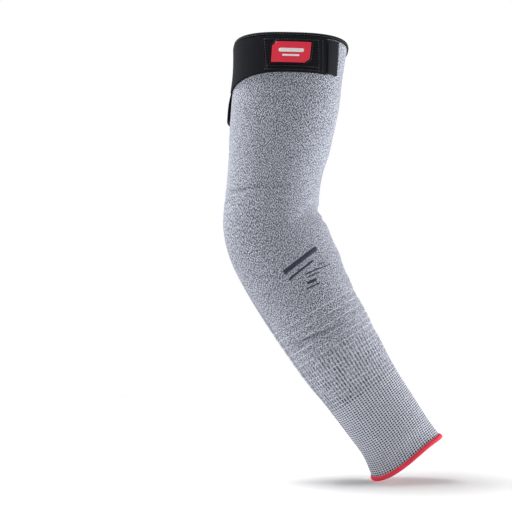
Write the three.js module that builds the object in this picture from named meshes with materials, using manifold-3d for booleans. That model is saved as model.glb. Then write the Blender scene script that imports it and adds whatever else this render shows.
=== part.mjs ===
// A cut resistant sleeve: a knitted tube for the upper arm, elbow and forearm, in the bent shape it has when worn.
// A black binding edges the arm opening, an elastic strap with a pull tab closes round the upper arm,
// a framed patch sits on the strap, a loop pad is sewn behind it, and a red overlocked hem ends the wrist.
// Millimetres, +Z up, +X to the side that the forearm leans to, front towards -Y.
// The origin is the centre of the arm opening, at the top of its binding.
import * as THREE from "three";
import { mergeVertices } from "three/addons/utils/BufferGeometryUtils.js";
import Module from "manifold-3d";

const wasm = await Module();
wasm.setup();

// Driving sizes of the knitted tube. Widths run side to side, depths front to back, both outside.
const SLEEVE_LENGTH = 457; // along the centreline, from the top of the binding to the foot of the hem
const ARM_WIDTH = 115;
const ARM_DEPTH = 96;
const ELBOW_WIDTH = 100;
const ELBOW_DEPTH = 89;
const FOREARM_WIDTH = 91.5;
const FOREARM_DEPTH = 75;
const WRIST_WIDTH = 76;
const WRIST_DEPTH = 50;
const HEM_WIDTH = 80.5;
const HEM_DEPTH = 44;
const KNIT_WALL = 1.6;
const FOLD_DEPTH = 4; // of the deepest crease, in the crook of the elbow
const HEM_WAVE = 2.5; // how far the wrist's edge strays from a flat ring

// Trim.
const GAP = 0.3; // left between pieces that touch
const BINDING_HEIGHT = 4.4;
const BINDING_TAPE = 1.1;
const HEM_HEIGHT = 5;
const HEM_THREAD = 1.3;
const STRAP_WIDTH = 36;
const STRAP_THICKNESS = 2;
const STRAP_FLARE = 10; // how much wider the strap is where it goes round the outer side
const TAB_LENGTH = 12;
const TAB_INSET = 1.2; // of the pull tab from the strap's two edges
const TAB_THICKNESS = 3;
const PATCH_WIDTH = 38.5;
const PATCH_HEIGHT = 21;
const PATCH_CUT = 4.5; // the two cut corners
const PATCH_ABOVE_MIDDLE = 1; // of the strap
const PATCH_THICKNESS = 1.2;
const FRAME_RIM = 1.8;
const FRAME_FLOOR = 0.6;
const PAD_WIDTH = 26;
const PAD_HEIGHT = 33.5;
const PAD_THICKNESS = 2.8;

// Places round the tube in degrees: 0 is the front, 90 the inner side that the forearm leans to, -90 the outer side.
const STRAP_START = -118;
const TAB_START = 36.3;
const STRAP_SLANT = 0.13; // how far the strap's cuts turn to the inner side for each millimetre down
const PATCH_MIDDLE = 0;
const PAD_START = -113;
const FLARE_MIDDLE = -70;
const FLARE_REACH = 38;

// The tube's sections. at is a share of the sleeve's length. lean is how far the centreline leans to +X going down, and
// cant how far the section's plane does; forward is how far both lean to the front. All three are in degrees. oval is
// the exponent of the section's shape: 2 for an ellipse, more for a squarer oval.
const SECTIONS = [
  { at: 0.0, lean: -3, cant: -1.5, forward: 10, width: ARM_WIDTH, depth: ARM_DEPTH, oval: 2.7 },
  { at: 0.07, lean: -6.2, cant: -1.5, forward: 9.5, width: 0.96 * ARM_WIDTH, depth: 0.99 * ARM_DEPTH, oval: 2.6 },
  { at: 0.14, lean: -7.5, cant: -3, forward: 9, width: 0.955 * ARM_WIDTH, depth: 0.98 * ARM_DEPTH, oval: 2.4 },
  { at: 0.21, lean: -9.2, cant: -5, forward: 8.5, width: 0.91 * ARM_WIDTH, depth: 0.95 * ARM_DEPTH, oval: 2.2 },
  { at: 0.277, lean: -8.5, cant: -5, forward: 8, width: 0.97 * ELBOW_WIDTH, depth: 0.99 * ELBOW_DEPTH, oval: 2.1 },
  { at: 0.343, lean: -3.5, cant: -1, forward: 7.5, width: 0.945 * ELBOW_WIDTH, depth: ELBOW_DEPTH, oval: 2 },
  { at: 0.401, lean: 7.8, cant: 10, forward: 7, width: 0.995 * ELBOW_WIDTH, depth: ELBOW_DEPTH, oval: 2 },
  { at: 0.459, lean: 22.2, cant: 22.5, forward: 6.5, width: 1.03 * ELBOW_WIDTH, depth: 0.97 * ELBOW_DEPTH, oval: 2 },
  { at: 0.522, lean: 26.3, cant: 26.2, forward: 6, width: ELBOW_WIDTH, depth: 0.93 * ELBOW_DEPTH, oval: 2 },
  { at: 0.582, lean: 28.8, cant: 28.8, forward: 5, width: 1.05 * FOREARM_WIDTH, depth: 1.05 * FOREARM_DEPTH, oval: 2 },
  { at: 0.653, lean: 30.8, cant: 30.8, forward: 4, width: FOREARM_WIDTH, depth: FOREARM_DEPTH, oval: 2 },
  { at: 0.728, lean: 32, cant: 32, forward: 3, width: 0.95 * FOREARM_WIDTH, depth: 0.9 * FOREARM_DEPTH, oval: 2 },
  { at: 0.801, lean: 34.2, cant: 34, forward: 2, width: 1.055 * WRIST_WIDTH, depth: 1.13 * WRIST_DEPTH, oval: 2.1 },
  { at: 0.872, lean: 34.4, cant: 34, forward: 1, width: 1.01 * WRIST_WIDTH, depth: 1.03 * WRIST_DEPTH, oval: 2.1 },
  { at: 0.943, lean: 32.5, cant: 32.5, forward: 0, width: WRIST_WIDTH, depth: WRIST_DEPTH, oval: 2.1 },
  { at: 0.972, lean: 31, cant: 31.5, forward: 0, width: 0.965 * HEM_WIDTH, depth: HEM_DEPTH, oval: 2 },
  { at: 1.0, lean: 30.5, cant: 31, forward: 0, width: HEM_WIDTH, depth: HEM_DEPTH, oval: 2 },
];

// Creases and swellings of the knit. at and long are shares of the length, around and wide are degrees, lift is a
// share of the fold depth, outwards, and slope is how many shares of the length a crease drops for each degree.
const FOLDS = [
  { name: "crook crease", at: 0.394, around: 95, lift: -1, long: 0.02, wide: 42, slope: 0.0002 },
  { name: "swelling below the crook", at: 0.43, around: 92, lift: 0.2, long: 0.016, wide: 36, slope: 0.0001 },
  { name: "front hollow of the crook", at: 0.41, around: 48, lift: -0.5, long: 0.028, wide: 24, slope: -0.0008 },
  { name: "back crease of the crook", at: 0.385, around: 140, lift: -0.55, long: 0.014, wide: 30, slope: 0.0006 },
  { name: "point of the elbow", at: 0.395, around: -92, lift: 0.4, long: 0.05, wide: 40, slope: 0 },
  { name: "slack below the elbow", at: 0.475, around: 165, lift: -0.4, long: 0.04, wide: 35, slope: 0 },
  { name: "crease across the forearm", at: 0.668, around: -14, lift: -0.25, long: 0.01, wide: 32, slope: 0.0002 },
  { name: "hollow above the wrist", at: 0.935, around: -80, lift: -0.3, long: 0.03, wide: 45, slope: 0 },
];

// The wavy edge of the wrist: drop is a share of the hem's wave, towards the hand.
const EDGE_WAVES = [
  { around: -45, drop: 0.9, wide: 40 },
  { around: 35, drop: -0.7, wide: 32 },
  { around: 150, drop: 0.6, wide: 45 },
];
const WAVE_REACH = 0.12; // share of the length over which the waves die out

// Rows of facets along the tube: each zone ends at a share of the length and has that many rows.
const ROW_ZONES = [
  { to: 0.09, rows: 3 },
  { to: 0.31, rows: 7 },
  { to: 0.43, rows: 12 },
  { to: 0.88, rows: 13 },
  { to: 1.0, rows: 6 },
];
const FACETS_AROUND = 44;
const SPINE_STEPS = 240;

// A column of the section table at a share of the length: a smooth cubic curve through its rows.
function column(name, share) {
  const last = SECTIONS.length - 1;
  const slope = (i) => {
    const before = SECTIONS[Math.max(i - 1, 0)];
    const after = SECTIONS[Math.min(i + 1, last)];
    return (after[name] - before[name]) / (after.at - before.at);
  };
  let i = 0;
  while (i < last - 1 && SECTIONS[i + 1].at < share) i++;
  const span = SECTIONS[i + 1].at - SECTIONS[i].at;
  const t = (share - SECTIONS[i].at) / span;
  return (
    SECTIONS[i][name] * (1 + 2 * t) * (1 - t) ** 2 +
    slope(i) * span * t * (1 - t) ** 2 +
    SECTIONS[i + 1][name] * t ** 2 * (3 - 2 * t) +
    slope(i + 1) * span * t ** 2 * (t - 1)
  );
}

// The direction down the sleeve for a sideways and a forward lean in degrees.
function downwards(sideways, forward) {
  const slant = (degrees) => Math.tan(THREE.MathUtils.degToRad(degrees));
  return new THREE.Vector3(slant(sideways), -slant(forward), -1).normalize();
}

// The centreline, walked down in short straight steps.
const spine = [new THREE.Vector3(0, 0, 0)];
for (let step = 0; step < SPINE_STEPS; step++) {
  const share = (step + 0.5) / SPINE_STEPS;
  const way = downwards(column("lean", share), column("forward", share));
  spine.push(spine[step].clone().addScaledVector(way, SLEEVE_LENGTH / SPINE_STEPS));
}

function centreAt(share) {
  const at = THREE.MathUtils.clamp(share, 0, 1) * SPINE_STEPS;
  const below = Math.min(Math.floor(at), SPINE_STEPS - 1);
  return spine[below].clone().lerp(spine[below + 1], at - below);
}

// A bell of height 1 that falls away over reach.
const bell = (distance, reach) => Math.exp(-((distance / reach) ** 2));

// The difference of two angles in degrees, between -180 and 180.
const turn = (from, to) => ((((to - from) % 360) + 540) % 360) - 180;

// How far the folds lift the knit at a place.
function foldLift(share, around) {
  let lift = 0;
  for (const fold of FOLDS) {
    const aside = turn(fold.around, around);
    const below = share - fold.at - fold.slope * aside;
    lift += fold.lift * bell(below, fold.long) * bell(aside, fold.wide);
  }
  return lift * FOLD_DEPTH;
}

// How far the wrist's waves move a place along the sleeve.
function edgeDrop(share, around) {
  let drop = 0;
  for (const wave of EDGE_WAVES) drop += wave.drop * bell(turn(wave.around, around), wave.wide);
  return drop * HEM_WAVE * bell(1 - share, WAVE_REACH);
}

// The point of the sleeve at a distance from its top, an angle round it, and a height above the knit's outer face.
function onSleeve(distance, around, lift) {
  const share = distance / SLEEVE_LENGTH;
  const down = downwards(column("cant", share), column("forward", share));
  const across = new THREE.Vector3(-down.z, 0, down.x).normalize();
  const back = across.clone().cross(down);
  const angle = THREE.MathUtils.degToRad(around);
  const [sideways, backwards] = [Math.sin(angle), -Math.cos(angle)];
  const halfWidth = column("width", share) / 2;
  const halfDepth = column("depth", share) / 2;
  const oval = column("oval", share);
  const swell = (Math.abs(sideways) ** oval + Math.abs(backwards) ** oval) ** (-1 / oval);
  const steepness = (part, half) => (Math.sign(part) * Math.abs(part) ** (oval - 1)) / half;
  const normal = new THREE.Vector2(steepness(sideways, halfWidth), steepness(backwards, halfDepth)).normalize();
  const raised = lift + foldLift(share, around);
  return centreAt(share)
    .addScaledVector(across, halfWidth * sideways * swell + normal.x * raised)
    .addScaledVector(back, halfDepth * backwards * swell + normal.y * raised)
    .addScaledVector(down, edgeDrop(share, around));
}

// The angle reached by going a length round the sleeve from an angle, at a distance from its top and a lift.
function angleAfter(from, length, distance, lift) {
  const step = Math.sign(length) * 0.5;
  let [angle, left] = [from, Math.abs(length)];
  while (left > 0) {
    const stride = onSleeve(distance, angle, lift).distanceTo(onSleeve(distance, angle + step, lift));
    angle += step * Math.min(1, left / stride);
    left -= stride;
  }
  return angle;
}

// The facet angles from one place to another, with the grid's own angles between them.
function anglesBetween(from, to) {
  const pitch = 360 / FACETS_AROUND;
  const clear = pitch / 4;
  const angles = [from];
  for (let angle = Math.ceil(from / pitch) * pitch; angle < to - clear; angle += pitch) {
    if (angle > from + clear) angles.push(angle);
  }
  return [...angles, to];
}

const wholeTurn = Array.from({ length: FACETS_AROUND }, (_, i) => -180 + (i * 360) / FACETS_AROUND);

// A closed solid swept round the sleeve. outline(angle) gives its cut as points, going down the outer face and up the
// inner one: each has a lift, a distance from the top and, where the cut isn't straight, a turn in degrees.
// A swept solid that isn't a ring is closed by flat ends.
function sweptRound(angles, outline, isRing) {
  const place = (angle, [lift, distance, turned = 0]) => onSleeve(distance, angle + turned, lift);
  const cuts = angles.map((angle) => outline(angle).map((point) => place(angle, point)));
  const points = cuts[0].length;
  const positions = cuts.flat().flatMap((p) => [p.x, p.y, p.z]);
  const index = [];
  const corner = (cut, i) => (cut % cuts.length) * points + (i % points);
  const spans = isRing ? cuts.length : cuts.length - 1;
  for (let cut = 0; cut < spans; cut++) {
    for (let i = 0; i < points; i++) {
      const [a, b] = [corner(cut, i), corner(cut + 1, i)];
      const [c, d] = [corner(cut, i + 1), corner(cut + 1, i + 1)];
      index.push(a, d, b, a, c, d);
    }
  }
  if (!isRing) {
    for (let i = 1; i < points - 1; i++) {
      index.push(corner(0, 0), corner(0, i + 1), corner(0, i));
      const end = cuts.length - 1;
      index.push(corner(end, 0), corner(end, i), corner(end, i + 1));
    }
  }
  const geometry = new THREE.BufferGeometry();
  geometry.setAttribute("position", new THREE.Float32BufferAttribute(positions, 3));
  geometry.setIndex(index);
  return geometry;
}

// A band's cut: a flat strip with its two outer edges eased.
function bandCut(low, high, top, bottom) {
  const ease = (high - low) * 0.35;
  return [
    [low, top],
    [high - ease, top],
    [high, top + ease],
    [high, bottom - ease],
    [high - ease, bottom],
    [low, bottom],
  ];
}

// Knit.

const KNIT_TOP = BINDING_TAPE + GAP;
const KNIT_BOTTOM = SLEEVE_LENGTH - HEM_THREAD - GAP;

function knitRows() {
  const shares = [0];
  for (const zone of ROW_ZONES) {
    const from = shares[shares.length - 1];
    for (let row = 1; row <= zone.rows; row++) shares.push(from + ((zone.to - from) * row) / zone.rows);
  }
  return shares.map((share) => KNIT_TOP + share * (KNIT_BOTTOM - KNIT_TOP));
}

function knitSleeve() {
  const rows = knitRows();
  const outer = rows.map((distance) => [0, distance]);
  const inner = rows.map((distance) => [-KNIT_WALL, distance]).reverse();
  return sweptRound(wholeTurn, () => [...outer, ...inner], true);
}

// A tape folded over an edge of the knit: a channel with a rounded back. edge is the distance of its back from the
// top of the sleeve, and way is 1 where the tape's legs run down the sleeve and -1 where they run up it.
function foldedOver(edge, way, height, tape) {
  const outside = GAP + tape;
  const inside = -(KNIT_WALL + GAP + tape);
  const ease = tape * 0.6;
  const channel = [
    [GAP, tape],
    [-(KNIT_WALL + GAP), tape],
    [-(KNIT_WALL + GAP), height],
    [inside, height],
    [inside, ease],
    [inside + ease, 0],
    [outside - ease, 0],
    [outside, ease],
    [outside, height],
    [GAP, height],
  ].map(([lift, along]) => [lift, edge + way * along]);
  if (way < 0) channel.reverse();
  return sweptRound(wholeTurn, () => channel, true);
}

// Strap and pull tab.

const STRAP_TOP = BINDING_HEIGHT + GAP;
const STRAP_MIDDLE = STRAP_TOP + STRAP_WIDTH / 2;
const STRAP_LOW = GAP;
const STRAP_HIGH = GAP + STRAP_THICKNESS;

// The strap's lower edge: it drops as the strap goes round the outer side.
const strapBottom = (around) => STRAP_TOP + STRAP_WIDTH + STRAP_FLARE * bell(turn(FLARE_MIDDLE, around), FLARE_REACH);

// A cut of the strap slants, so that it stands upright on the leaning arm.
function slanted(cut) {
  return cut.map(([lift, distance]) => [lift, distance, STRAP_SLANT * (distance - STRAP_MIDDLE)]);
}

function strapBand() {
  const end = angleAfter(TAB_START, -GAP, STRAP_MIDDLE, STRAP_HIGH);
  const cut = (angle) => slanted(bandCut(STRAP_LOW, STRAP_HIGH, STRAP_TOP, strapBottom(angle)));
  return sweptRound(anglesBetween(STRAP_START, end), cut, false);
}

function strapTab() {
  const end = angleAfter(TAB_START, TAB_LENGTH, STRAP_MIDDLE, STRAP_HIGH);
  const [top, bottom] = [STRAP_TOP + TAB_INSET, STRAP_TOP + STRAP_WIDTH - TAB_INSET];
  const cut = () => slanted(bandCut(STRAP_LOW, GAP + TAB_THICKNESS, top, bottom));
  return sweptRound(anglesBetween(TAB_START, end), cut, false);
}

// Patch and its frame. Both have two opposite corners cut off.

const PATCH_LEVEL = STRAP_MIDDLE - PATCH_ABOVE_MIDDLE;

function patchPlate(width, height, cut, low, high) {
  const place = (aside) => angleAfter(PATCH_MIDDLE, aside, PATCH_LEVEL, high);
  const [left, right] = [place(-width / 2), place(width / 2)];
  const [leftCut, rightCut] = [place(cut - width / 2), place(width / 2 - cut)];
  const outline = (angle) => {
    const fromTop = (Math.max(0, leftCut - angle) / (leftCut - left)) * cut;
    const fromBottom = (Math.max(0, angle - rightCut) / (right - rightCut)) * cut;
    const [top, bottom] = [PATCH_LEVEL - height / 2 + fromTop, PATCH_LEVEL + height / 2 - fromBottom];
    return [
      [low, top],
      [high, top],
      [high, bottom],
      [low, bottom],
    ];
  };
  return sweptRound([left, ...anglesBetween(leftCut, rightCut), right], outline, false);
}

function asSolid(geometry) {
  const merged = mergeVertices(geometry, 1e-4);
  const mesh = { numProp: 3, vertProperties: merged.attributes.position.array, triVerts: merged.index.array };
  return new wasm.Manifold(new wasm.Mesh({ ...mesh, triVerts: new Uint32Array(mesh.triVerts) }));
}

function asGeometry(solid) {
  const mesh = solid.getMesh();
  const geometry = new THREE.BufferGeometry();
  geometry.setAttribute("position", new THREE.BufferAttribute(new Float32Array(mesh.vertProperties), 3));
  geometry.setIndex(new THREE.BufferAttribute(new Uint32Array(mesh.triVerts), 1));
  return geometry;
}

const FRAME_LOW = STRAP_HIGH + GAP;
const POCKET_FLOOR = FRAME_LOW + FRAME_FLOOR;
const FRAME_HIGH = POCKET_FLOOR + GAP + PATCH_THICKNESS;

// The frame is a shallow tray: a plate with a pocket for the patch.
function patchFrame() {
  const grown = 2 * (FRAME_RIM + GAP);
  const plate = patchPlate(PATCH_WIDTH + grown, PATCH_HEIGHT + grown, PATCH_CUT + FRAME_RIM, FRAME_LOW, FRAME_HIGH);
  const pocketHigh = FRAME_HIGH + FRAME_RIM;
  const pocket = patchPlate(PATCH_WIDTH + 2 * GAP, PATCH_HEIGHT + 2 * GAP, PATCH_CUT, POCKET_FLOOR, pocketHigh);
  return asGeometry(asSolid(plate).subtract(asSolid(pocket)));
}

function patchFace() {
  const low = POCKET_FLOOR + GAP;
  return patchPlate(PATCH_WIDTH, PATCH_HEIGHT, PATCH_CUT, low, low + PATCH_THICKNESS);
}

// Loop pad: sewn on below the strap, thin at its top edge and full at its foot.

function loopPad() {
  const top = strapBottom(FLARE_MIDDLE) + GAP;
  const bottom = top + PAD_HEIGHT;
  const middle = (top + bottom) / 2;
  const cut = [
    [GAP, top],
    [GAP + 0.4 * PAD_THICKNESS, top],
    [GAP + 0.9 * PAD_THICKNESS, middle],
    [GAP + PAD_THICKNESS, bottom],
    [GAP, bottom],
    [GAP, middle],
  ];
  const end = angleAfter(PAD_START, PAD_WIDTH, middle, GAP);
  return sweptRound(anglesBetween(PAD_START, end), () => cut, false);
}

// Finishes.

const knit = new THREE.MeshStandardMaterial({ color: 0x9a9eab, roughness: 0.95, metalness: 0 });
const blackTape = new THREE.MeshStandardMaterial({ color: 0x17171a, roughness: 0.8, metalness: 0 });
const blackWebbing = new THREE.MeshStandardMaterial({ color: 0x26272b, roughness: 0.85, metalness: 0 });
const redThread = new THREE.MeshStandardMaterial({ color: 0xd93a4c, roughness: 0.8, metalness: 0 });
const blackRubber = new THREE.MeshStandardMaterial({ color: 0x141416, roughness: 0.5, metalness: 0 });
const redRubber = new THREE.MeshStandardMaterial({ color: 0xd8283c, roughness: 0.45, metalness: 0 });

const sleeve = new THREE.Group();
const pieces = [
  ["knit_sleeve", knitSleeve(), knit],
  ["arm_binding", foldedOver(0, 1, BINDING_HEIGHT, BINDING_TAPE), blackTape],
  ["wrist_hem", foldedOver(SLEEVE_LENGTH, -1, HEM_HEIGHT, HEM_THREAD), redThread],
  ["strap_band", strapBand(), blackWebbing],
  ["strap_tab", strapTab(), blackWebbing],
  ["patch_frame", patchFrame(), blackRubber],
  ["patch_face", patchFace(), redRubber],
  ["loop_pad", loopPad(), blackWebbing],
];
for (const [name, geometry, material] of pieces) {
  const mesh = new THREE.Mesh(geometry, material);
  mesh.name = name;
  sleeve.add(mesh);
}

export default sleeve;
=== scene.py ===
import bpy
import numpy as np
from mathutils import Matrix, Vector


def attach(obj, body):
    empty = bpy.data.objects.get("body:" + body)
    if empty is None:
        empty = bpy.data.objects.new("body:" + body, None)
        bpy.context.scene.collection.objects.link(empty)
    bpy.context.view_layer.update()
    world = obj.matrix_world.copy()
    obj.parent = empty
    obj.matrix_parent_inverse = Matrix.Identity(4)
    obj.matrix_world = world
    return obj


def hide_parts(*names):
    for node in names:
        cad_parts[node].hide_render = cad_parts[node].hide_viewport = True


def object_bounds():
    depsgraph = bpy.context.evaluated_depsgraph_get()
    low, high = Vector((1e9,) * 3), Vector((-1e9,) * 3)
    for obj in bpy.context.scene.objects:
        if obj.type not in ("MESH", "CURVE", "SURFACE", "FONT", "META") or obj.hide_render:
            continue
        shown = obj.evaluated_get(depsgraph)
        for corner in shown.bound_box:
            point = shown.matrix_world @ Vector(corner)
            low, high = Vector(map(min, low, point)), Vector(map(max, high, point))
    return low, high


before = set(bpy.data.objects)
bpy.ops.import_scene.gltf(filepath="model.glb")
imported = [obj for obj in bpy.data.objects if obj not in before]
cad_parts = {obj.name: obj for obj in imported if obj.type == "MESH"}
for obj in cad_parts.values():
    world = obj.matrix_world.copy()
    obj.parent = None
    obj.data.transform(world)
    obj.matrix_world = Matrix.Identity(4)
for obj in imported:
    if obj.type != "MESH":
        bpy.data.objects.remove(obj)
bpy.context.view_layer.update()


# Knitted tube.
# One tube of grey melange yarn, knitted in the round on a 13 gauge machine: plain knit over the upper arm and elbow,
# tuck courses below the elbow, then a close rib that grips the wrist. It is worn, so it keeps the arm's bend.
# Sizes are millimetres. Round the tube, 0 degrees is the front, 90 the inner side that the forearm leans to.
SLEEVE_LENGTH = 457.0
KNIT_WALL = 1.6
KNIT_TOP = 1.4
KNIT_BOTTOM = 455.4
FOLD_DEPTH = 4.0
HEM_WAVE = 2.5
WAVE_REACH = 0.12

# at is a share of the length. lean is how far the centreline leans to +X going down, cant how far the section does,
# forward how far both lean to the front, in degrees. oval is the exponent of the section's shape, 2 for an ellipse.
SECTION_COLUMNS = ("at", "lean", "cant", "forward", "width", "depth", "oval")
SECTION_ROWS = [
    (0.0, -3.0, -1.5, 10.0, 115.0, 96.0, 2.7),
    (0.07, -6.2, -1.5, 9.5, 110.4, 95.04, 2.6),
    (0.14, -7.5, -3.0, 9.0, 109.825, 94.08, 2.4),
    (0.21, -9.2, -5.0, 8.5, 104.65, 91.2, 2.2),
    (0.277, -8.5, -5.0, 8.0, 97.0, 88.11, 2.1),
    (0.343, -3.5, -1.0, 7.5, 94.5, 89.0, 2.0),
    (0.401, 7.8, 10.0, 7.0, 99.5, 89.0, 2.0),
    (0.459, 22.2, 22.5, 6.5, 103.0, 86.33, 2.0),
    (0.522, 26.3, 26.2, 6.0, 100.0, 82.77, 2.0),
    (0.582, 28.8, 28.8, 5.0, 96.075, 78.75, 2.0),
    (0.653, 30.8, 30.8, 4.0, 91.5, 75.0, 2.0),
    (0.728, 32.0, 32.0, 3.0, 86.925, 67.5, 2.0),
    (0.801, 34.2, 34.0, 2.0, 80.18, 56.5, 2.1),
    (0.872, 34.4, 34.0, 1.0, 76.76, 51.5, 2.1),
    (0.943, 32.5, 32.5, 0.0, 76.0, 50.0, 2.1),
    (0.972, 31.0, 31.5, 0.0, 77.6825, 44.0, 2.0),
    (1.0, 30.5, 31.0, 0.0, 80.5, 44.0, 2.0),
]
sections = dict(zip(SECTION_COLUMNS, np.array(SECTION_ROWS).T))

# Creases and swellings of the worn knit. The columns are at, around, lift, long, wide and slope: at and long are shares
# of the length, around and wide degrees, lift a share of the fold depth, and slope how many shares of the length a
# crease drops for each degree.
FOLD_ROWS = [
    (0.394, 95, -1.0, 0.02, 42, 0.0002),
    (0.432, 92, -0.45, 0.014, 36, 0.0001),
    (0.41, 48, -0.5, 0.028, 24, -0.0008),
    (0.385, 140, -0.55, 0.014, 30, 0.0006),
    (0.395, -92, 0.4, 0.05, 40, 0.0),
    (0.475, 165, -0.4, 0.04, 35, 0.0),
    (0.668, -14, -0.25, 0.01, 32, 0.0002),
    (0.935, -80, -0.3, 0.03, 45, 0.0),
]

# The wrist's wavy edge: an angle, a share of the wave towards the hand, and a width in degrees.
WAVE_ROWS = [(-45, 0.9, 40), (-20, 1.1, 60), (35, -0.7, 32), (150, 0.6, 45)]


def bell(distance, reach):
    """A bump of height 1: e to the power of minus the square of distance over reach."""
    return np.exp(-((distance / reach) ** 2))


def turned(start, end):
    """The angle from start to end, between -180 and 180 degrees."""
    return (end - start + 540.0) % 360.0 - 180.0


def column(name, share):
    """A column of the section table at a share of the length: between two rows, the cubic that meets both of them
    with the slopes of the rows on either side."""
    at, value = sections["at"], sections[name]
    before = np.maximum(np.arange(len(at)) - 1, 0)
    after = np.minimum(np.arange(len(at)) + 1, len(at) - 1)
    slope = (value[after] - value[before]) / (at[after] - at[before])
    i = np.clip(np.searchsorted(at, share) - 1, 0, len(at) - 2)
    span = at[i + 1] - at[i]
    t = (share - at[i]) / span
    start = value[i] * (1 + 2 * t) * (1 - t) ** 2 + slope[i] * span * t * (1 - t) ** 2
    return start + value[i + 1] * t**2 * (3 - 2 * t) + slope[i + 1] * span * t**2 * (t - 1)


def downwards(sideways, forward):
    """The unit vector down the sleeve: its slopes sideways and forward are the tangents of the two leans."""
    slope = np.tan(np.radians(sideways))
    way = np.stack([slope, -np.tan(np.radians(forward)), -np.ones_like(slope)], -1)
    return way / np.linalg.norm(way, axis=-1, keepdims=True)


SPINE_STEPS = 240
middles = (np.arange(SPINE_STEPS) + 0.5) / SPINE_STEPS
steps_down = downwards(column("lean", middles), column("forward", middles)) * SLEEVE_LENGTH / SPINE_STEPS
spine = np.vstack([np.zeros(3), np.cumsum(steps_down, 0)])


def on_sleeve(distance, around, lift):
    """Points of the sleeve in metres. Each is the centreline's point at a distance from the top, plus half the width
    times the sine of the angle sideways and half the depth times its cosine backwards, both swollen to the section's
    oval, plus the lift and the folds along the section's outward normal, plus the wrist's wave downwards."""
    distance, around, lift = np.broadcast_arrays(distance, around, lift)
    share = distance / SLEEVE_LENGTH
    down = downwards(column("cant", share), column("forward", share))
    across = np.stack([-down[..., 2], np.zeros_like(share), down[..., 0]], -1)
    across /= np.linalg.norm(across, axis=-1, keepdims=True)
    back = np.cross(across, down)
    sideways, backwards = np.sin(np.radians(around)), -np.cos(np.radians(around))
    half_width, half_depth, oval = column("width", share) / 2, column("depth", share) / 2, column("oval", share)
    swell = (np.abs(sideways) ** oval + np.abs(backwards) ** oval) ** (-1 / oval)
    normal_x = np.sign(sideways) * np.abs(sideways) ** (oval - 1) / half_width
    normal_y = np.sign(backwards) * np.abs(backwards) ** (oval - 1) / half_depth
    size = np.hypot(normal_x, normal_y)
    raised = lift.astype(float)
    for at, middle, high, long, wide, slope in FOLD_ROWS:
        aside = turned(middle, around)
        raised = raised + FOLD_DEPTH * high * bell(share - at - slope * aside, long) * bell(aside, wide)
    drop = sum(low * bell(turned(middle, around), wide) for middle, low, wide in WAVE_ROWS)
    drop = drop * HEM_WAVE * bell(1 - share, WAVE_REACH)
    steps = np.clip(share, 0, 1) * SPINE_STEPS
    centre = np.stack([np.interp(steps, np.arange(SPINE_STEPS + 1), spine[:, axis]) for axis in range(3)], -1)
    centre = centre + across * (half_width * sideways * swell + normal_x / size * raised)[..., None]
    centre = centre + back * (half_depth * backwards * swell + normal_y / size * raised)[..., None]
    return (centre + down * drop[..., None]) / 1000


def piece(name, points, faces, values, material, stands_for=()):
    """Makes a piece from its points in metres and its faces, with the corner values that its pattern follows, turns
    its faces outwards by the sign of its volume, and puts it on the frame."""
    points, faces = np.asarray(points).reshape(-1, 3), np.asarray(faces)
    a, b, c = points[faces[:, 0]], points[faces[:, 1]], points[faces[:, 2]]
    volume = np.einsum("ij,ij->", a, np.cross(b, c))
    if faces.shape[1] == 4:
        volume += np.einsum("ij,ij->", a, np.cross(c, points[faces[:, 3]]))
    if volume < 0:
        faces, values = faces[:, ::-1], values[:, ::-1]
    mesh = bpy.data.meshes.new(name)
    mesh.from_pydata(points.tolist(), [], faces.tolist())
    cloth = mesh.attributes.new("cloth", "FLOAT_VECTOR", "CORNER")
    cloth.data.foreach_set("vector", np.ascontiguousarray(values, dtype=np.float32).ravel())
    mesh.shade_smooth()
    mesh.materials.append(material)
    made = bpy.data.objects.new(name, mesh)
    bpy.context.scene.collection.objects.link(made)
    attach(made, "root")
    if stands_for:
        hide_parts(*stands_for)
    return made


def grid_faces(rows, columns, rows_closed, columns_closed):
    """The four corners of each face of a grid as (row, column) numbers, which run past the last where it closes."""
    row, col = np.meshgrid(
        np.arange(rows if rows_closed else rows - 1),
        np.arange(columns if columns_closed else columns - 1),
        indexing="ij",
    )
    row, col = row.ravel(), col.ravel()
    return np.stack([row, row, row + 1, row + 1], -1), np.stack([col, col + 1, col + 1, col], -1)


def grid_piece(name, points, values, material, stands_for=(), rows_closed=True, columns_closed=False):
    """A piece from a grid of points. values has one more row and column than points where the grid closes. Where the
    columns don't close, each end is capped by joining the outline's points from both sides to its middle."""
    rows, columns = points.shape[:2]
    row, col = grid_faces(rows, columns, rows_closed, columns_closed)
    faces = (row % rows) * columns + col % columns
    corner_values = values[row, col]
    if not columns_closed:
        i = np.arange(rows // 2 - 1)
        pairs = np.stack([i, i + 1, rows - 2 - i, rows - 1 - i], -1)
        start, end = pairs * columns, pairs[:, ::-1] * columns + columns - 1
        faces = np.vstack([faces, start, end])
        corner_values = np.vstack([corner_values, values[pairs, 0], values[pairs[:, ::-1], columns - 1]])
    return piece(name, points, faces, corner_values, material, stands_for)


def linear(hex_colour):
    """An sRGB hex colour as linear light: each channel is divided by 12.92 below 0.04045, and above it has 0.055
    added, is divided by 1.055 and raised to 2.4."""
    channels = np.array([int(hex_colour[i : i + 2], 16) / 255 for i in (1, 3, 5)])
    light = np.where(channels <= 0.04045, channels / 12.92, ((channels + 0.055) / 1.055) ** 2.4)
    return (*light.tolist(), 1.0)


def add_node(tree, kind, inputs=(), **settings):
    """Adds a node of a kind, with its settings. Each of its inputs gets a value or a link from another's output."""
    made = tree.nodes.new(kind)
    for name, value in settings.items():
        setattr(made, name, value)
    for key, value in dict(inputs).items():
        if isinstance(value, bpy.types.NodeSocket):
            tree.links.new(value, made.inputs[key])
        else:
            made.inputs[key].default_value = value
    return made


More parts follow.
